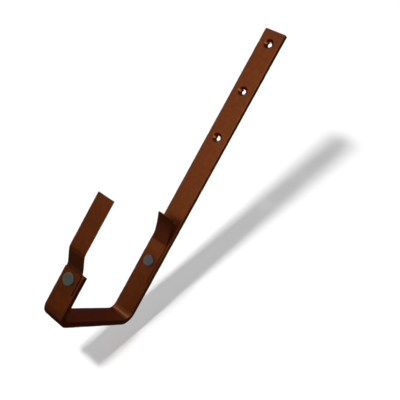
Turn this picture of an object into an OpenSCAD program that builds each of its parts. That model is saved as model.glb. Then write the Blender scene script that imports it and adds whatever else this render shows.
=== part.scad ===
// Gutter bracket for a square gutter: a flat steel bar bent to a U with a long strap,
// and two riveted sheet clips that fold over the gutter's front and back edges.
// Z = 0 is the seat that the gutter's floor rests on, X runs from the strap to the front
// arm, and the origin is the middle of the seat. Millimetres.

/* [Flat bar] */
// Width of the bar
bar_w = 25; // [22:0.5:40]
// Thickness of the bar
bar_t = 6; // [4:0.5:10]
// Radius of the bar's rolled edges
bar_edge_r = 0.8; // [0.2:0.1:1.5]
// Inside radius of the bar's two bends
bar_bend_r = 8; // [3:0.5:14]
// Clear width between the strap and the front arm
seat_w = 110; // [70:1:160]
// Height of the strap above the seat
strap_h = 346; // [290:1:450]
// Height of the front arm above the seat
front_arm_h = 47.5; // [40:0.5:90]

/* [Screw holes] */
// Number of countersunk holes in the strap
screw_n = 3; // [1:1:3]
// Diameter of a screw hole
screw_d = 5.5; // [4:0.1:7]
// Diameter of a countersink at the strap's face
sink_d = 11; // [8:0.1:13]
// Full angle of the countersinks
sink_angle = 90; // [80:1:120]
// Distance from one hole to the next
screw_pitch = 56; // [30:1:70]
// Distance from the strap's end to the first hole
screw_end = 15; // [10:0.5:30]

/* [Clips] */
// Width of the sheet clips
clip_w = 20; // [14:0.5:22]
// Thickness of the sheet clips
clip_t = 1.5; // [0.8:0.1:2.5]

/* [Front clip] */
// Length of the clip that lies on the front arm
front_lap = 20; // [16:0.5:30]
// Height of the clip's tip above the end of the front arm
front_rise = 76.5; // [40:0.5:120]
// How far the clip steps out past the front arm
joggle = 10.5; // [6:0.5:20]
// Slope of the step, from upright
joggle_angle = 32; // [25:1:50]
// Inside radius of the step's two bends
joggle_bend_r = 10; // [2:0.5:12]

/* [Rear clip] */
// Height of the clip's lower end above the seat
rear_low = 47.5; // [20:0.5:55]
// Height where the clip starts to lean forward
lean_start = 90; // [82:0.5:110]
// First, tighter bend of the lean
lean_angle = 21; // [10:1:30]
// Inside radius of that first bend
lean_bend_r = 8; // [2:0.5:20]
// Straight length after the first bend
lean_run = 4; // [1:0.5:15]
// Second, wide bend up to the tip
sweep_angle = 18; // [5:1:30]
// Inside radius of the wide bend
sweep_r = 88; // [40:1:120]

/* [Rivets] */
// Diameter of a rivet's shank
rivet_d = 6; // [4:0.1:7]
// Diameter of a rivet's flat round head
head_d = 12.4; // [10:0.1:14]
// Height of the head above the clip
head_h = 2.4; // [1.5:0.1:4]
// Rounding of the head's rim
head_edge_r = 0.6; // [0.2:0.1:1]
// Depth of the closed tail, flush in the bar's far face
tail_h = 2; // [1:0.1:3]
// How far the front rivet sits below the front arm's end
front_rivet_drop = 8.5; // [7:0.5:9]
// How far the rear rivet sits above the rear clip's lower end
rear_rivet_rise = 20; // [10:0.5:22]
// Gap all round between a rivet's shank or tail and its hole
rivet_gap = 0.05; // [0.02:0.01:0.2]

/* [Hidden] */
$fn = 96;
over = 1;      // how far a cutter runs past the face that it cuts
bend_step = 3; // degrees from one point to the next round a clip's bend
brown = [0.34, 0.17, 0.09];
zinc_grey = [0.62, 0.63, 0.64];

strap_x = -seat_w / 2;          // face of the strap that looks at the gutter
arm_x = seat_w / 2 + bar_t;     // outer face of the front arm
front_rivet_z = front_arm_h - front_rivet_drop;
rear_rivet_z = rear_low + rear_rivet_rise;
grip = bar_t + clip_t;          // what a rivet holds together
tail_d = rivet_d + 2 * tail_h;  // the tail is a 45 degree cone

// A step that shifts a strip sideways by `shift` has two equal bends of angle a and a
// straight run between them. The bends' share of the shift is taken off first.
function step_run(shift, a, r, t) = (shift - (2 * r + t) * (1 - cos(a))) / sin(a);
function step_rise(shift, a, r, t) = (2 * r + t) * sin(a) + step_run(shift, a, r, t) * cos(a);

// Outline of a bent sheet in the XZ plane. It starts upwards with its front face on X = 0.
// Each entry of path is [straight length, bend angle, inside radius], and the last may be
// the length alone. A positive bend turns the sheet towards +X, a negative one towards -X.
function ahead(a) = [sin(a), cos(a)];
function outwards(a) = [cos(a), -sin(a)];
function sheet_side(path, t, depth, i = 0, at = [0, 0], a = 0) =
    let (end = at + path[i][0] * ahead(a))
    len(path[i]) == 1 ? [end - depth * outwards(a)] :
    let (bend = path[i][1],
         r = bend > 0 ? path[i][2] : -path[i][2] - t,
         pivot = end + r * outwards(a),
         steps = ceil(abs(bend) / bend_step),
         arc = [for (k = [0 : steps]) pivot - (r + depth) * outwards(a + bend * k / steps)])
    i + 1 == len(path) ? arc :
    concat(arc, sheet_side(path, t, depth, i + 1, pivot - r * outwards(a + bend), a + bend));
function backwards(list) = [for (k = [len(list) - 1 : -1 : 0]) list[k]];

module bent_sheet(path, w, t) {
    rotate([90, 0, 0]) translate([0, 0, -w / 2]) linear_extrude(w)
        polygon(concat([[-t, 0], [0, 0]], sheet_side(path, t, 0), backwards(sheet_side(path, t, t))));
}

// Cross-section of the bar: thickness along X from 0, width along Y, long edges rounded.
module bar_section() {
    translate([0, bar_edge_r - bar_w / 2]) square([bar_t, bar_w - 2 * bar_edge_r]);
    translate([bar_edge_r, -bar_w / 2]) square([bar_t - 2 * bar_edge_r, bar_w]);
    for (x = [bar_edge_r, bar_t - bar_edge_r], y = [bar_edge_r - bar_w / 2, bar_w / 2 - bar_edge_r])
        translate([x, y]) circle(bar_edge_r);
}

// Straight bar down from Z = 0, with its inner face on X = 0, then a square bend towards
// +X and whatever follows the bend.
module bar_run(length) {
    translate([-bar_t, 0, -length]) linear_extrude(length) bar_section();
    translate([bar_bend_r, 0, -length]) {
        rotate([90, 0, 0]) rotate_extrude(angle = 90, start = 180)
            translate([bar_bend_r, 0]) bar_section();
        rotate([0, -90, 0]) translate([-bar_bend_r, 0, 0]) children();
    }
}

// Turns and moves a piece drawn along Z so that it points along +X at height z.
module along_x(x, z) {
    translate([x, 0, z]) rotate([0, 90, 0]) children();
}

// Countersunk screw hole: drawn downwards from the strap's face at Z = 0.
module screw_hole() {
    sink_slope = tan(sink_angle / 2);
    sink_h = (sink_d - screw_d) / 2 / sink_slope;
    translate([0, 0, -bar_t - over]) cylinder(h = bar_t + 2 * over, d = screw_d);
    translate([0, 0, -sink_h])
        cylinder(h = sink_h + over, d1 = screw_d, d2 = sink_d + 2 * over * sink_slope);
}

// Rivet hole through clip and bar, with the seat of the tail: Z = 0 is the clip's face.
module rivet_hole() {
    translate([0, 0, -grip - over]) cylinder(h = grip + 2 * over, d = rivet_d + 2 * rivet_gap);
    translate([0, 0, -grip - over])
        cylinder(h = tail_h + over, d1 = tail_d + 2 * over + 2 * rivet_gap, d2 = rivet_d + 2 * rivet_gap);
}

// Set rivet: flat round head on Z = 0, shank through the grip, tail flush with the bar.
module rivet() {
    head_r = head_d / 2;
    rotate_extrude() {
        square([head_r - head_edge_r, head_h]);
        square([head_r, head_h - head_edge_r]);
        translate([head_r - head_edge_r, head_h - head_edge_r]) circle(head_edge_r);
    }
    translate([0, 0, -grip]) cylinder(h = grip, d = rivet_d);
    translate([0, 0, -grip]) cylinder(h = tail_h, d1 = tail_d, d2 = rivet_d);
}

module front_rivet_place() {
    along_x(arm_x + clip_t, front_rivet_z) children();
}

module rear_rivet_place() {
    along_x(strap_x + clip_t, rear_rivet_z) children();
}

// One flat bar: strap, seat and front arm, drawn from the strap's top end downwards.
module bracket_bar() {
    color(brown) difference() {
        translate([strap_x, 0, strap_h])
            bar_run(strap_h - bar_bend_r) bar_run(seat_w - 2 * bar_bend_r)
                translate([-bar_t, 0, bar_bend_r - front_arm_h])
                    linear_extrude(front_arm_h - bar_bend_r) bar_section();
        for (i = [0 : screw_n - 1])
            along_x(strap_x, strap_h - screw_end - i * screw_pitch) screw_hole();
        front_rivet_place() rivet_hole();
        rear_rivet_place() rivet_hole();
    }
}

// Sheet clip on the outside of the front arm: it steps out to clear the gutter's bead,
// and its upper end is left upright, to be folded over the bead.
module front_clip() {
    run = step_run(joggle, joggle_angle, joggle_bend_r, clip_t);
    rise = step_rise(joggle, joggle_angle, joggle_bend_r, clip_t);
    color(brown) difference() {
        translate([arm_x + clip_t, 0, front_arm_h - front_lap])
            bent_sheet([[front_lap, joggle_angle, joggle_bend_r],
                        [run, -joggle_angle, joggle_bend_r],
                        [front_rise - rise]], clip_w, clip_t);
        front_rivet_place() rivet_hole();
    }
}

// Sheet clip on the strap, behind the gutter: its upper end already leans forward.
module rear_clip() {
    color(brown) difference() {
        translate([strap_x + clip_t, 0, rear_low])
            bent_sheet([[lean_start - rear_low, lean_angle, lean_bend_r],
                        [lean_run, sweep_angle, sweep_r]], clip_w, clip_t);
        rear_rivet_place() rivet_hole();
    }
}

module front_rivet() {
    color(zinc_grey) front_rivet_place() rivet();
}

module rear_rivet() {
    color(zinc_grey) rear_rivet_place() rivet();
}

bracket_bar();
front_clip();
rear_clip();
front_rivet();
rear_rivet();
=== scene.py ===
import math
import bpy
from mathutils import Matrix, Vector


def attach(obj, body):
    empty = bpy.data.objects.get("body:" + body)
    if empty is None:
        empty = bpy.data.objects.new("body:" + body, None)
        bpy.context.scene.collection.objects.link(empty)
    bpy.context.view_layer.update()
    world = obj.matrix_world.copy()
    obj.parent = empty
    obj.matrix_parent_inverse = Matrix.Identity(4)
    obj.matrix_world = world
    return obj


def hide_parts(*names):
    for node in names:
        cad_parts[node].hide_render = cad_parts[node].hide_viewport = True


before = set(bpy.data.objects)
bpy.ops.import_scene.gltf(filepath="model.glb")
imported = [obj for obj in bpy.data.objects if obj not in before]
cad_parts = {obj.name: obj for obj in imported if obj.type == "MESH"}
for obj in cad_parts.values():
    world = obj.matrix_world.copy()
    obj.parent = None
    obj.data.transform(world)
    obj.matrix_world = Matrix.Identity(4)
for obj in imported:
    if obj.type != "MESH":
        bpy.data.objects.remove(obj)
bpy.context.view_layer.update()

# The sizes that the solids are drawn from, in metres. X runs from the strap to the front arm,
# Y along the gutter, and Z up from the seat that the gutter's floor rests on.
MM = 0.001

# flat bar
BAR_W, BAR_T = 25 * MM, 6 * MM
BAR_EDGE_R, BAR_BEND_R = 0.8 * MM, 8 * MM
SEAT_W = 110 * MM  # clear width between the strap and the front arm
STRAP_H, FRONT_ARM_H = 346 * MM, 47.5 * MM
STRAP_X = -SEAT_W / 2  # face of the strap that looks at the gutter
ARM_X = SEAT_W / 2 + BAR_T  # outer face of the front arm

# countersunk screw holes
SCREWS, SCREW_PITCH = 3, 56 * MM
SCREW_D, SINK_D = 5.5 * MM, 11 * MM
SCREW_END = 15 * MM  # from the strap's end to the first hole
FIRST_SCREW_Z = STRAP_H - SCREW_END
LAST_SCREW_Z = FIRST_SCREW_Z - (SCREWS - 1) * SCREW_PITCH

# sheet clips; the step of the front one has two equal bends
CLIP_W, CLIP_T = 20 * MM, 1.5 * MM
CLIP_EDGE_R = 0.35 * MM
FRONT_LAP, FRONT_RISE = 20 * MM, 76.5 * MM
JOGGLE, JOGGLE_ANGLE, JOGGLE_BEND_R = 10.5 * MM, math.radians(32), 10 * MM
REAR_LOW, LEAN_START = 47.5 * MM, 90 * MM
LEAN_ANGLE, LEAN_BEND_R, LEAN_RUN = math.radians(21), 8 * MM, 4 * MM
SWEEP_ANGLE, SWEEP_R = math.radians(18), 88 * MM

# rivets; a rivet's place is where its axis meets its clip's face
RIVET_D, HEAD_D, HEAD_H, HEAD_EDGE_R = 6 * MM, 12.4 * MM, 2.4 * MM, 0.6 * MM
SHANK_R, HEAD_R = RIVET_D / 2, HEAD_D / 2
TAIL_H = 2 * MM
TAIL_R = SHANK_R + TAIL_H
GRIP = BAR_T + CLIP_T
RIVET_GAP = 0.05 * MM
FRONT_RIVET_DROP, REAR_RIVET_RISE = 8.5 * MM, 20 * MM
FRONT_RIVET = Vector((ARM_X + CLIP_T, 0, FRONT_ARM_H - FRONT_RIVET_DROP))
REAR_RIVET = Vector((STRAP_X + CLIP_T, 0, REAR_LOW + REAR_RIVET_RISE))
DISH, FOOT_R = 0.12 * MM, 0.15 * MM  # hollow of a rivet's ends, and the round under its head

# rounding of what is sharp after cutting
BAR_CUT_R, CLIP_CUT_R, RIVET_CUT_R = 0.3 * MM, 0.25 * MM, 0.08 * MM
SHARP = math.radians(35)  # an edge that turns by more than this is sharp

OVER = 1 * MM  # how far a cutter runs past the face that it cuts
MERGE = 0.01 * MM  # points closer than this become one
AXIS_R = 0.0005 * MM  # a ring too small to see
BEND_STEP = math.radians(2)  # from one point to the next round a bend
FILLET_POINTS, HOLE_SIDES, RIVET_SIDES = 5, 72, 96
DISH_POINTS, RIM_POINTS = 6, 8


# ---------------------------------------------------------------- shader and geometry nodes

class Wire:
    """A node's output socket. Operators on one that carries a number add Math nodes."""

    def __init__(self, shop, socket):
        self.shop, self.socket = shop, socket

    def _math(self, operation, *values):
        return self.shop.add("ShaderNodeMath", {"operation": operation}, dict(enumerate(values)))

    def __add__(self, other):
        return self._math("ADD", self, other)

    def __radd__(self, other):
        return self._math("ADD", other, self)

    def __sub__(self, other):
        return self._math("SUBTRACT", self, other)

    def __rsub__(self, other):
        return self._math("SUBTRACT", other, self)

    def __mul__(self, other):
        return self._math("MULTIPLY", self, other)

    def __rmul__(self, other):
        return self._math("MULTIPLY", other, self)

    def __truediv__(self, other):
        return self._math("DIVIDE", self, other)

    def __rtruediv__(self, other):
        return self._math("DIVIDE", other, self)

    def __abs__(self):
        return self._math("ABSOLUTE", self)

    def root(self):
        return self._math("POWER", self, 0.5)

    def sine(self):
        return self._math("SINE", self)

    def wrap(self, low, high):
        """The number, brought between low and high by whole steps of high - low."""
        return self._math("WRAP", self, high, low)

    def step(self, low, high):
        """0 below low, 1 above high, smooth between."""
        return self.shop.add("ShaderNodeMapRange", {"interpolation_type": "SMOOTHSTEP"},
                             {"Value": self, "From Min": low, "From Max": high})


class Shop:
    """Adds nodes to one tree: type, settings first, then the values or links of its sockets."""

    def __init__(self, tree):
        self.tree = tree

    def add(self, kind, settings=None, sockets=None, out=0):
        node = self.tree.nodes.new(kind)
        for name, value in (settings or {}).items():
            setattr(node, name, value)
        for name, value in (sockets or {}).items():
            if isinstance(value, Wire):
                self.tree.links.new(value.socket, node.inputs[name])
            else:
                node.inputs[name].default_value = value
        return Wire(self, node.outputs[out]) if node.outputs else None

    def outputs(self, wire):
        """Every output of the node that a wire comes from, by name."""
        return {socket.name: Wire(self, socket) for socket in wire.socket.node.outputs}


def geometry_tree(name, inputs):
    """A new Geometry Nodes tree with a geometry input and named inputs."""
    tree = bpy.data.node_groups.new(name, "GeometryNodeTree")
    tree.interface.new_socket("Geometry", in_out="INPUT", socket_type="NodeSocketGeometry")
    tree.interface.new_socket("Geometry", in_out="OUTPUT", socket_type="NodeSocketGeometry")
    for label, kind in inputs:
        tree.interface.new_socket(label, in_out="INPUT", socket_type=kind)
    shop = Shop(tree)
    return shop, shop.outputs(shop.add("NodeGroupInput"))


def close_tree(shop, geometry, material):
    """Ends a tree in Realize Instances and Set Material."""
    real = shop.add("GeometryNodeRealizeInstances", {}, {0: geometry})
    made = shop.add("GeometryNodeSetMaterial", {}, {"Geometry": real, "Material": material})
    shop.add("NodeGroupOutput", {}, {0: made})
    return shop.tree


def run_tree(name, tree, start, values):
    """Runs a Geometry Nodes tree on a start mesh and keeps the result as a plain mesh."""
    source = bpy.data.objects.new(name + "_source", start)
    bpy.context.scene.collection.objects.link(source)
    modifier = source.modifiers.new("make", "NODES")
    modifier.node_group = tree
    for item in tree.interface.items_tree:
        if item.in_out == "INPUT" and item.name in values:
            modifier[item.identifier] = values[item.name]
    bpy.context.view_layer.update()
    graph = bpy.context.evaluated_depsgraph_get()
    mesh = bpy.data.meshes.new_from_object(source.evaluated_get(graph), depsgraph=graph)
    mesh.name = name
    source.modifiers.remove(modifier)
    bpy.data.objects.remove(source)
    piece = bpy.data.objects.new(name, mesh)
    bpy.context.scene.collection.objects.link(piece)
    return piece


# ---------------------------------------------------------------- finishes

BROWN = (0.30, 0.063, 0.0102)
# the rivets are one part in two greys: painted light makes the rear head lighter and the front head
# darker
FRONT_SHADED_GREY, REAR_LIT_GREY = (0.178, 0.191, 0.173), (0.25, 0.243, 0.26)
TOOL_RING_PITCH = 0.42 * MM
EDGE_WEAR = 0.9 * MM  # from a long edge inwards
RIM_WEAR, RIM_FADE = 0.15 * MM, 0.35 * MM
END_WEAR, END_FADE = 0.1 * MM, 0.8 * MM
# half width and fade of the painted shade round each rivet
RING_SHADE_W, RING_SHADE_FADE = 0.3 * MM, 0.9 * MM
HAIR = 0.1 * MM  # the width over which a mask that should be crisp fades
ALL_X = -1.0  # lower than any piece reaches


def start_material(name):
    material = bpy.data.materials.new(name)
    material.use_nodes = True
    material.node_tree.nodes.clear()
    return material, Shop(material.node_tree)


def end_material(shop, surface):
    shop.add("ShaderNodeOutputMaterial", {}, {"Surface": surface})


def object_axes(shop):
    """Object coordinates: the whole vector, then its X, Y and Z."""
    at = shop.add("ShaderNodeTexCoord", out="Object")
    axes = shop.outputs(shop.add("ShaderNodeSeparateXYZ", {}, {0: at}))
    return at, axes["X"], axes["Y"], axes["Z"]


def noise(shop, at, per_metre, detail, roughness=0.5):
    """Noise on both sides of 0."""
    return shop.add("ShaderNodeTexNoise", {}, {
        "Vector": at, "Scale": per_metre, "Detail": detail, "Roughness": roughness}, out="Fac") - 0.5


def mix_colours(shop, factor, first, second):
    return shop.add("ShaderNodeMix", {"data_type": "RGBA"}, {0: factor, 6: first, 7: second}, out=2)


def shades(shop, colour, tone, darkest, lightest):
    """The colour times darkest where tone is -0.5, and times lightest where it is 0.5."""
    dark, light = (tuple(part * k for part in colour) + (1,) for k in (darkest, lightest))
    return mix_colours(shop, tone + 0.5, dark, light)


def near(value, centre, half, soft):
    """1 within half of centre, fading to 0 over soft."""
    return 1 - abs(value - centre).step(half, half + soft)


def radius(y, z, centre_z=0):
    """Distance from an axis along X at height centre_z."""
    up = z - centre_z
    return (y * y + up * up).root()


def screw_rims(x, y, z):
    """Rims of the screw holes: wide on the strap's face, narrow on its back."""
    from_hole = (z - FIRST_SCREW_Z).wrap(-SCREW_PITCH / 2, SCREW_PITCH / 2)
    r = radius(y, from_hole)
    on_face = x.step(STRAP_X - 1 * MM, STRAP_X - 0.5 * MM)
    on_back = 1 - x.step(STRAP_X - BAR_T + HAIR, STRAP_X - BAR_T + 0.5 * MM)
    rims = (near(r, SINK_D / 2, RIM_WEAR, RIM_FADE) * on_face
            + near(r, SCREW_D / 2, RIM_WEAR, RIM_FADE) * on_back)
    return rims * z.step(LAST_SCREW_Z - 0.5 * SCREW_PITCH, LAST_SCREW_Z - 0.4 * SCREW_PITCH)


def rivet_shade_ring(x, y, z, place, ring_r):
    """Painted shade: a darker ring round a rivet at place, on that rivet's side of the bracket only."""
    this_side = (x * math.copysign(1, place.x)).step(0, 1 * MM)
    return near(radius(y, z, place.z), ring_r + RING_SHADE_W, RING_SHADE_W, RING_SHADE_FADE) * this_side


def powder_coat(name, half_width, rivets, ring_r, ends, rims=None):
    """Satin brown metallic coat: orange peel, faint clouds and handling marks, a coat that is
    thinner and slightly rubbed along the edges and rims, and a rougher ring round each rivet
    whose darker colour is painted shade where the rivet meets the strip.
    Each of the ends is a height, and the X past which the strip ends at that height."""
    material, shop = start_material(name)
    at, x, y, z = object_axes(shop)
    edge = abs(y).step(half_width - EDGE_WEAR, half_width - HAIR)
    for end_z, past_x in ends:
        edge = edge + near(z, end_z, END_WEAR, END_FADE) * x.step(past_x - HAIR, past_x)
    if rims:
        edge = edge + rims(x, y, z)
    # painted shade: the coat darkens in a ring where each rivet meets the strip
    ring = sum(rivet_shade_ring(x, y, z, place, ring_r) for place in rivets)
    cloud = noise(shop, at, per_metre=45, detail=3)
    smudge = noise(shop, at, per_metre=16, detail=3, roughness=0.6)
    patch = noise(shop, at, per_metre=240, detail=3, roughness=0.6)
    peel = noise(shop, at, per_metre=620, detail=2)
    grain = noise(shop, at, per_metre=2600, detail=1)
    rubbed = edge * patch.step(-0.10, 0.12)
    tone = (cloud * 0.35 + patch * 1.2 + grain * 0.3 + smudge * 0.25
            + edge * 0.03 + rubbed * 0.20 - ring * 0.14)
    rough = 0.40 + cloud * 0.10 + smudge * 0.14 + grain * 0.06 + ring * 0.08 - rubbed * 0.06
    relief = peel * 0.7 + grain * 0.3 - rubbed * 0.12
    bump = shop.add("ShaderNodeBump", {}, {
        "Strength": 0.5, "Distance": 0.1 * MM, "Height": relief}, out="Normal")
    end_material(shop, shop.add("ShaderNodeBsdfPrincipled", {}, {
        "Base Color": shades(shop, BROWN, tone, darkest=0.7, lightest=1.33),
        "Roughness": rough, "Normal": bump, "Metallic": 0.85, "Specular IOR Level": 0.5,
        "Coat Weight": 0.25 - rubbed * 0.15, "Coat Roughness": 0.28}))
    return material


def zinc_plate(name, place, colour):
    """Dull grey plated steel. The riveting tool leaves faint rings round the middle of the
    head and a rubbed rim. The head's side wall is darkened with painted shade."""
    material, shop = start_material(name)
    at, _, y, z = object_axes(shop)
    r = radius(y, z, place.z)
    rings = (r * (math.tau / TOOL_RING_PITCH)).sine()
    rim = near(r, HEAD_R - 0.35 * MM, RIM_WEAR, 0.3 * MM)
    # painted shade: the head's side wall, down to its foot, is darker
    foot_shade = r.step(HEAD_R - 0.12 * MM, HEAD_R)
    cloud = noise(shop, at, per_metre=260, detail=3)
    grain = noise(shop, at, per_metre=3200, detail=2)
    tone = cloud * 0.6 + grain * 0.2 + rings * 0.05 + rim * 0.18 - foot_shade * 0.5
    relief = grain * 0.4 + cloud * 0.4 + rings * 0.12
    bump = shop.add("ShaderNodeBump", {}, {
        "Strength": 0.3, "Distance": 0.05 * MM, "Height": relief}, out="Normal")
    end_material(shop, shop.add("ShaderNodeBsdfPrincipled", {}, {
        "Base Color": shades(shop, colour, tone, darkest=0.8, lightest=1.2),
        "Roughness": 0.45 + grain * 0.2 - rim * 0.06, "Normal": bump, "Metallic": 0.5}))
    return material


bar_coat = powder_coat("bar_powder_coat", BAR_W / 2, (REAR_RIVET, FRONT_RIVET), TAIL_R,
                       ((STRAP_H, ALL_X), (FRONT_ARM_H, ARM_X - 2 * BAR_T)), screw_rims)
front_coat = powder_coat("front_clip_powder_coat", CLIP_W / 2, (FRONT_RIVET,), HEAD_R,
                         ((FRONT_ARM_H - FRONT_LAP, ALL_X), (FRONT_ARM_H + FRONT_RISE, ALL_X)))
rear_coat = powder_coat("rear_clip_powder_coat", CLIP_W / 2, (REAR_RIVET,), HEAD_R,
                        ((REAR_LOW, ALL_X),))
front_zinc = zinc_plate("front_rivet_steel", FRONT_RIVET, FRONT_SHADED_GREY)
rear_zinc = zinc_plate("rear_rivet_steel", REAR_RIVET, REAR_LIT_GREY)


# ---------------------------------------------------------------- shapes

def bent_line(start, runs):
    """Middle line of a bent strip in the XZ plane, upwards from start. Each run is
    (straight length, bend angle, radius of the middle line); a positive bend goes to +X."""
    at, heading = Vector((start[0], 0, start[1])), 0.0
    points = [at.copy()]
    for length, bend, bend_r in runs:
        at = at + length * Vector((math.sin(heading), 0, math.cos(heading)))
        points.append(at.copy())
        if bend:
            arm = math.copysign(bend_r, bend)
            pivot = at + arm * Vector((math.cos(heading), 0, -math.sin(heading)))
            steps = math.ceil(abs(bend) / BEND_STEP)
            for k in range(1, steps + 1):
                turned = heading + bend * k / steps
                points.append(pivot - arm * Vector((math.cos(turned), 0, -math.sin(turned))))
            heading, at = heading + bend, points[-1].copy()
    return points


def line_mesh(name, points):
    """The points as a bare mesh of edges, which a tree turns into a curve."""
    mesh = bpy.data.meshes.new(name)
    mesh.from_pydata(points, [(i, i + 1) for i in range(len(points) - 1)], [])
    return mesh


def finish_edges(piece, width, segments=3):
    """Rounds what is still sharp after cutting, and keeps flat faces flat in shading."""
    for polygon in piece.data.polygons:
        polygon.use_smooth = True
    bevel = piece.modifiers.new("round_cut_edges", "BEVEL")
    bevel.width, bevel.segments = width, segments
    bevel.limit_method, bevel.angle_limit = "ANGLE", SHARP
    piece.modifiers.new("flat_shading", "WEIGHTED_NORMAL").keep_sharp = True
    return piece


def bent_strip_tree():
    """Sweeps a rounded flat section along the line, then cuts countersunk holes and rivet
    holes through it. A hole's place is on the face that it is drilled from, which looks
    to +X."""
    shop, given = geometry_tree("bent_strip", [
        ("Width", "NodeSocketFloat"), ("Thickness", "NodeSocketFloat"),
        ("Edge radius", "NodeSocketFloat"), ("Screw holes", "NodeSocketInt"),
        ("First screw", "NodeSocketVector"), ("Screw step", "NodeSocketVector"),
        ("Rivet holes", "NodeSocketInt"), ("First rivet", "NodeSocketVector"),
        ("Rivet step", "NodeSocketVector"), ("Material", "NodeSocketMaterial")])
    section = shop.add("GeometryNodeCurvePrimitiveQuadrilateral", {}, {
        "Width": given["Thickness"], "Height": given["Width"]})
    section = shop.add("GeometryNodeFilletCurve", {"mode": "POLY"}, {
        "Curve": section, "Radius": given["Edge radius"], "Count": FILLET_POINTS})
    line = shop.add("GeometryNodeMeshToCurve", {}, {"Mesh": given["Geometry"]})
    strip = shop.add("GeometryNodeCurveToMesh", {}, {
        "Curve": line, "Profile Curve": section, "Fill Caps": True})

    def row(count, first, step, cutter):
        places = shop.add("GeometryNodeMeshLine", {"mode": "OFFSET"}, {
            "Count": count, "Start Location": first, "Offset": step})
        turned = shop.add("GeometryNodeInstanceOnPoints", {}, {
            "Points": places, "Instance": cutter, "Rotation": (0, math.pi / 2, 0)})
        return shop.add("GeometryNodeRealizeInstances", {}, {0: turned})

    def cone(bottom_z, height, bottom_r, top_r):
        solid = shop.add("GeometryNodeMeshCone", {"fill_type": "NGON"}, {
            "Vertices": HOLE_SIDES, "Radius Bottom": bottom_r, "Radius Top": top_r, "Depth": height})
        return shop.add("GeometryNodeTransform", {}, {0: solid, "Translation": (0, 0, bottom_z)})

    # countersinks and tails are 90 degree cones: as high as they are wider
    sink_h = (SINK_D - SCREW_D) / 2
    bore_r = SHANK_R + RIVET_GAP
    drill = cone(-BAR_T - OVER, BAR_T + 2 * OVER, SCREW_D / 2, SCREW_D / 2)
    sink = cone(-sink_h, sink_h + OVER, SCREW_D / 2, SINK_D / 2 + OVER)
    bore = cone(-GRIP - OVER, GRIP + 2 * OVER, bore_r, bore_r)
    tail = cone(-GRIP - OVER, TAIL_H + OVER, bore_r + TAIL_H + OVER, bore_r)
    for count, first, step, cutter in (
            ("Screw holes", "First screw", "Screw step", drill),
            ("Screw holes", "First screw", "Screw step", sink),
            ("Rivet holes", "First rivet", "Rivet step", bore),
            ("Rivet holes", "First rivet", "Rivet step", tail)):
        strip = shop.add("GeometryNodeMeshBoolean", {"operation": "DIFFERENCE", "solver": "EXACT"}, {
            0: strip, 1: row(given[count], given[first], given[step], cutter)})
    strip = shop.add("GeometryNodeMergeByDistance", {}, {"Geometry": strip, "Distance": MERGE})
    return close_tree(shop, strip, given["Material"])


# ---------------------------------------------------------------- bar

strip_tree = bent_strip_tree()

# A bent line starts upwards. The bar's goes down the strap, along the seat and up the front
# arm, so it is drawn half a turn round and turned back.
bar_middle_r = BAR_BEND_R + BAR_T / 2
bar_line = [-point for point in bent_line((BAR_T / 2 - STRAP_X, -STRAP_H), [
    (STRAP_H - BAR_BEND_R, -math.pi / 2, bar_middle_r),
    (SEAT_W - 2 * BAR_BEND_R, -math.pi / 2, bar_middle_r),
    (FRONT_ARM_H - BAR_BEND_R, 0, 0)])]
bar = run_tree("flat_bar", strip_tree, line_mesh("bar_line", bar_line), {
    "Width": BAR_W, "Thickness": BAR_T, "Edge radius": BAR_EDGE_R, "Screw holes": SCREWS,
    "First screw": (STRAP_X, 0, FIRST_SCREW_Z), "Screw step": (0, 0, -SCREW_PITCH),
    "Rivet holes": 2, "First rivet": tuple(REAR_RIVET),
    "Rivet step": tuple(FRONT_RIVET - REAR_RIVET), "Material": bar_coat})
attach(finish_edges(bar, BAR_CUT_R), "root")
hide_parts("bracket_bar")


# ---------------------------------------------------------------- sheet clips

def sheet_clip(name, line, rivet, coat):
    """A sheet strip along the line, with the hole of its rivet."""
    return run_tree(name, strip_tree, line_mesh(name + "_line", line), {
        "Width": CLIP_W, "Thickness": CLIP_T, "Edge radius": CLIP_EDGE_R, "Screw holes": 0,
        "Rivet holes": 1, "First rivet": tuple(rivet), "Material": coat})


# The joggle's two bends take their share of its shift and its height, and a straight run
# between them takes the rest.
joggle_r = JOGGLE_BEND_R + CLIP_T / 2
joggle_run = (JOGGLE - 2 * joggle_r * (1 - math.cos(JOGGLE_ANGLE))) / math.sin(JOGGLE_ANGLE)
joggle_rise = 2 * joggle_r * math.sin(JOGGLE_ANGLE) + joggle_run * math.cos(JOGGLE_ANGLE)
front_line = bent_line((ARM_X + CLIP_T / 2, FRONT_ARM_H - FRONT_LAP), [
    (FRONT_LAP, JOGGLE_ANGLE, joggle_r), (joggle_run, -JOGGLE_ANGLE, joggle_r),
    (FRONT_RISE - joggle_rise, 0, 0)])
front = sheet_clip("front_sheet_clip", front_line, FRONT_RIVET, front_coat)
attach(finish_edges(front, CLIP_CUT_R), "root")
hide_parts("front_clip")

rear_line = bent_line((STRAP_X + CLIP_T / 2, REAR_LOW), [
    (LEAN_START - REAR_LOW, LEAN_ANGLE, LEAN_BEND_R + CLIP_T / 2),
    (LEAN_RUN, SWEEP_ANGLE, SWEEP_R + CLIP_T / 2)])
rear = sheet_clip("rear_sheet_clip", rear_line, REAR_RIVET, rear_coat)
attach(finish_edges(rear, CLIP_CUT_R), "root")
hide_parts("rear_clip")


# ---------------------------------------------------------------- rivets

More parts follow.
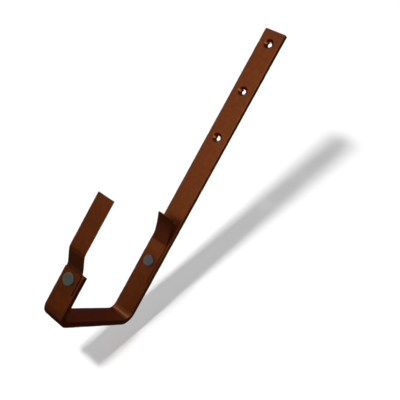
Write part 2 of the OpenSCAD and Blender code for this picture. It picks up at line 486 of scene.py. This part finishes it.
def rivet_tree():
    """A set rivet along +X. The outline of half of it comes in as a bare line, X the
    distance from its axis and Y the height above the clip, and is turned round that axis."""
    shop, given = geometry_tree("set_rivet", [
        ("Sides", "NodeSocketInt"), ("Place", "NodeSocketVector"), ("Material", "NodeSocketMaterial")])
    outline = shop.add("GeometryNodeMeshToCurve", {}, {"Mesh": given["Geometry"]})
    # the tiny ring carries the outline round, so the points on the axis stay together
    ring = shop.add("GeometryNodeCurvePrimitiveCircle", {"mode": "RADIUS"}, {
        "Resolution": given["Sides"], "Radius": AXIS_R})
    turned = shop.add("GeometryNodeCurveToMesh", {}, {
        "Curve": ring, "Profile Curve": outline, "Fill Caps": False})
    closed = shop.add("GeometryNodeMergeByDistance", {}, {"Geometry": turned, "Distance": 4 * AXIS_R})
    facing_out = shop.add("GeometryNodeFlipFaces", {}, {"Mesh": closed})
    placed = shop.add("GeometryNodeTransform", {}, {
        0: facing_out, "Translation": given["Place"], "Rotation": (0, -math.pi / 2, 0)})
    return close_tree(shop, placed, given["Material"])


def rivet_outline():
    """Half a rivet from the middle of its head to the middle of its tail. Both ends are
    slightly hollow where the riveting tool pressed them, and the head's rim is rounded."""
    rim_r = HEAD_R - HEAD_EDGE_R
    outline = [(0, HEAD_H - DISH)]
    for k in range(1, DISH_POINTS + 1):
        share = k / DISH_POINTS
        outline.append((rim_r * share, HEAD_H - DISH * (1 - share ** 4)))
    for k in range(1, RIM_POINTS + 1):
        a = math.pi / 2 * (1 - k / RIM_POINTS)
        outline.append((rim_r + HEAD_EDGE_R * math.cos(a), HEAD_H - HEAD_EDGE_R * (1 - math.sin(a))))
    outline += [(HEAD_R, FOOT_R), (HEAD_R - FOOT_R, 0), (SHANK_R, 0), (SHANK_R, TAIL_H - GRIP),
                (TAIL_R, -GRIP), (SHANK_R, DISH - GRIP), (0, DISH - GRIP)]
    return [(out, up, 0) for out, up in outline]


turned_rivet = rivet_tree()
for name, node, place, steel in (("front_set_rivet", "front_rivet", FRONT_RIVET, front_zinc),
                                 ("rear_set_rivet", "rear_rivet", REAR_RIVET, rear_zinc)):
    rivet = run_tree(name, turned_rivet, line_mesh(name + "_outline", rivet_outline()), {
        "Sides": RIVET_SIDES, "Place": tuple(place), "Material": steel})
    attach(finish_edges(rivet, RIVET_CUT_R, segments=2), "root")
    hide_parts(node)


# ---------------------------------------------------------------- stage, light and camera

BRACKET_MIDDLE = Vector((0, 0, 0.14))
LAMP_PLACE = Vector((0.78, 0, 0.392))
# the sheet leans behind the bracket, turned round the line from low to high
SHEET_LOW, SHEET_HIGH = Vector((-0.0376, 0, -0.0606)), Vector((-0.4393, 0, 0.3253))
SHEET_TILT = math.radians(20)
SHEET_SHIFT, SHEET_HALF = 0.28, 0.75  # from low to the sheet's middle, and half its side
SHEET_LAMP_R, SHEET_LAMP_POWER = 0.0375, 42
# the sheet is whiter where the lamp's light slants more, and glows less there, so that the lit
# sheet and the shadow on it are each even; the glow's tint evens out the cool boxes
SHEET_WHITE, WHITE_NEAR, WHITE_FAR = 0.474, 0.5, 0.95
GLOW_NEAR, GLOW_FAR = (0.358, 0.344, 0.336, 1), (0.2455, 0.2194, 0.2028, 1)
DIM, WHITE = (0.0215, 0.016, 0.015, 1), (1, 1, 1, 1)  # the world, to the bracket and the camera

CAMERA_PLACE = Vector((0.49246, 0.29854, 0.20464))
CAMERA_HEADING, CAMERA_RISE, CAMERA_ROLL = (math.radians(a) for a in (208.332, -4.643, 28.807))

BOX_DISTANCE = 3.0
BOXES = (  # name, azimuth and elevation seen from the bracket, size, power, colour
    ("low_front_box", -13, -8, (1.0, 0.85), 5.3, (0.93, 0.89, 0.72)),
    ("front_box", -29, 6, (0.85, 1.5), 1.8, (0.83, 1, 0.75)),
    ("side_box", -66, 27, (1.8, 1.4), 17.8, (1, 0.76, 0.75)),
    ("upper_box", -42, 52, (1.6, 1.2), 12.5, (0.45, 0.85, 1)),
    ("under_box", -40, -50, (1.2, 1.2), 0.86, (1, 0.9, 0.9)),
    ("far_box", -155, 22, (1.2, 1.0), 0.45, (1, 0.2, 0.15)),
    ("right_box", 64, 6, (1.0, 1.0), 19.0, (0.78, 0.88, 1)),
    ("left_box", -92, -10, (1.4, 1.4), 5.0, (1, 0.97, 0.92)),
    ("rear_box", -162, -20, (1.0, 0.9), 26.0, (1, 0.97, 0.92)),
    ("top_box", 180, 80, (1.0, 1.0), 3.5, (1, 0.9, 0.85)))
KEY_SIZE, KEY_POWER, KEY_COLOUR = (0.05, 0.05), 1.02, (0.9, 1, 0.9)


def add_object(name, data):
    made = bpy.data.objects.new(name, data)
    bpy.context.scene.collection.objects.link(made)
    return made


def aim(holder, place, target, roll=0.0):
    """Puts a lamp or camera at place, looking at target."""
    back = (place - target).normalized()
    holder.matrix_world = (Matrix.Translation(place) @ back.to_track_quat("Z", "Y").to_matrix().to_4x4()
                           @ Matrix.Rotation(roll, 4, "Z"))


def direction(azimuth, elevation):
    return Vector((math.cos(azimuth) * math.cos(elevation), math.sin(azimuth) * math.cos(elevation),
                   math.sin(elevation)))


def soft_box(name, place, size, power, colour):
    """A rectangular lamp aimed at the bracket, which the camera doesn't see."""
    lamp = bpy.data.lights.new(name, "AREA")
    lamp.shape, lamp.size, lamp.size_y = "RECTANGLE", size[0], size[1]
    lamp.energy, lamp.color = power, colour
    holder = add_object(name, lamp)
    holder.visible_camera = False
    aim(holder, place, BRACKET_MIDDLE)


def sheet_paper(facing):
    """White paper, seen from its front only. The lamp's light on it just reaches white, so
    that only the bracket's soft shadow shows."""
    material, shop = start_material("pale_sheet")
    at = shop.add("ShaderNodeTexCoord", out="Object")
    to_lamp = shop.add("ShaderNodeVectorMath", {"operation": "SUBTRACT"}, {0: tuple(LAMP_PLACE), 1: at})
    to_lamp = shop.add("ShaderNodeVectorMath", {"operation": "NORMALIZE"}, {0: to_lamp})
    slant = shop.add("ShaderNodeVectorMath", {"operation": "DOT_PRODUCT"},
                     {0: to_lamp, 1: tuple(facing)}, out="Value")
    far = (SHEET_WHITE / slant - WHITE_NEAR) / (WHITE_FAR - WHITE_NEAR)
    matt = mix_colours(shop, far, (WHITE_NEAR,) * 3 + (1,), (WHITE_FAR,) * 3 + (1,))
    front = shop.add("ShaderNodeBsdfPrincipled", {}, {
        "Base Color": matt, "Roughness": 1.0, "Specular IOR Level": 0.0,
        "Emission Color": mix_colours(shop, far, GLOW_NEAR, GLOW_FAR), "Emission Strength": 1.0})
    back = shop.add("ShaderNodeNewGeometry", out="Backfacing")
    clear = shop.add("ShaderNodeBsdfTransparent")
    end_material(shop, shop.add("ShaderNodeMixShader", {}, {0: back, 1: front, 2: clear}))
    return material


def pale_sheet():
    """The sheet takes the strap's shadow along its middle. It bounces and blocks no light."""
    along = (SHEET_HIGH - SHEET_LOW).normalized()
    facing = Matrix.Rotation(SHEET_TILT, 4, along) @ Vector((along.z, 0, -along.x))
    across = facing.cross(along)
    middle = SHEET_LOW + SHEET_SHIFT * along
    corners = [middle + SHEET_HALF * (u * along + v * across)
               for u, v in ((-1, -1), (1, -1), (1, 1), (-1, 1))]
    mesh = bpy.data.meshes.new("pale_sheet")
    mesh.from_pydata(corners, [], [(0, 1, 2, 3)])
    mesh.materials.append(sheet_paper(facing))
    sheet = add_object("pale_sheet", mesh)
    for rays in ("diffuse", "glossy", "transmission", "volume_scatter", "shadow"):
        setattr(sheet, "visible_" + rays, False)
    return sheet


def light_sheet_alone(sheet):
    """A second lamp in the key lamp's place lights the sheet alone, evenly to its corners."""
    lamp = bpy.data.lights.new("sheet_lamp", "POINT")
    lamp.energy, lamp.shadow_soft_size = 1, SHEET_LAMP_R
    lamp.use_nodes = True
    shop = Shop(lamp.node_tree)
    steady = shop.add("ShaderNodeLightFalloff", {}, {"Strength": SHEET_LAMP_POWER}, out="Constant")
    shop.tree.links.new(steady.socket, shop.tree.nodes["Emission"].inputs["Strength"])
    holder = add_object("sheet_lamp", lamp)
    holder.location = LAMP_PLACE
    holder.visible_camera = False
    lit_by_lamp = bpy.data.collections.new("lit_by_sheet_lamp")
    lit_by_lamp.objects.link(sheet)
    holder.light_linking.receiver_collection = lit_by_lamp


def studio_world():
    """Nearly dark, and white only to the camera."""
    world = bpy.data.worlds.new("studio")
    world.use_nodes = True
    world.node_tree.nodes.clear()
    shop = Shop(world.node_tree)
    seen = shop.add("ShaderNodeLightPath", out="Is Camera Ray")
    sky = shop.add("ShaderNodeBackground", {}, {"Color": mix_colours(shop, seen, DIM, WHITE)})
    shop.add("ShaderNodeOutputWorld", {}, {"Surface": sky})
    return world


sheet = pale_sheet()
light_sheet_alone(sheet)
for name, azimuth, elevation, size, power, colour in BOXES:
    place = BRACKET_MIDDLE + BOX_DISTANCE * direction(math.radians(azimuth), math.radians(elevation))
    soft_box(name, place, size, power, colour)
soft_box("key_lamp", LAMP_PLACE, KEY_SIZE, KEY_POWER, KEY_COLOUR)
bpy.context.scene.world = studio_world()
bpy.context.scene.view_settings.view_transform = "Standard"

camera = add_object("camera", bpy.data.cameras.new("camera"))
camera.data.lens, camera.data.sensor_width = 52.33, 36.0
camera.data.shift_x, camera.data.shift_y = 0.02456, -0.01905
camera.data.clip_start, camera.data.clip_end = 0.01, 20
aim(camera, CAMERA_PLACE, CAMERA_PLACE + direction(CAMERA_HEADING, CAMERA_RISE), CAMERA_ROLL)
bpy.context.scene.camera = camera
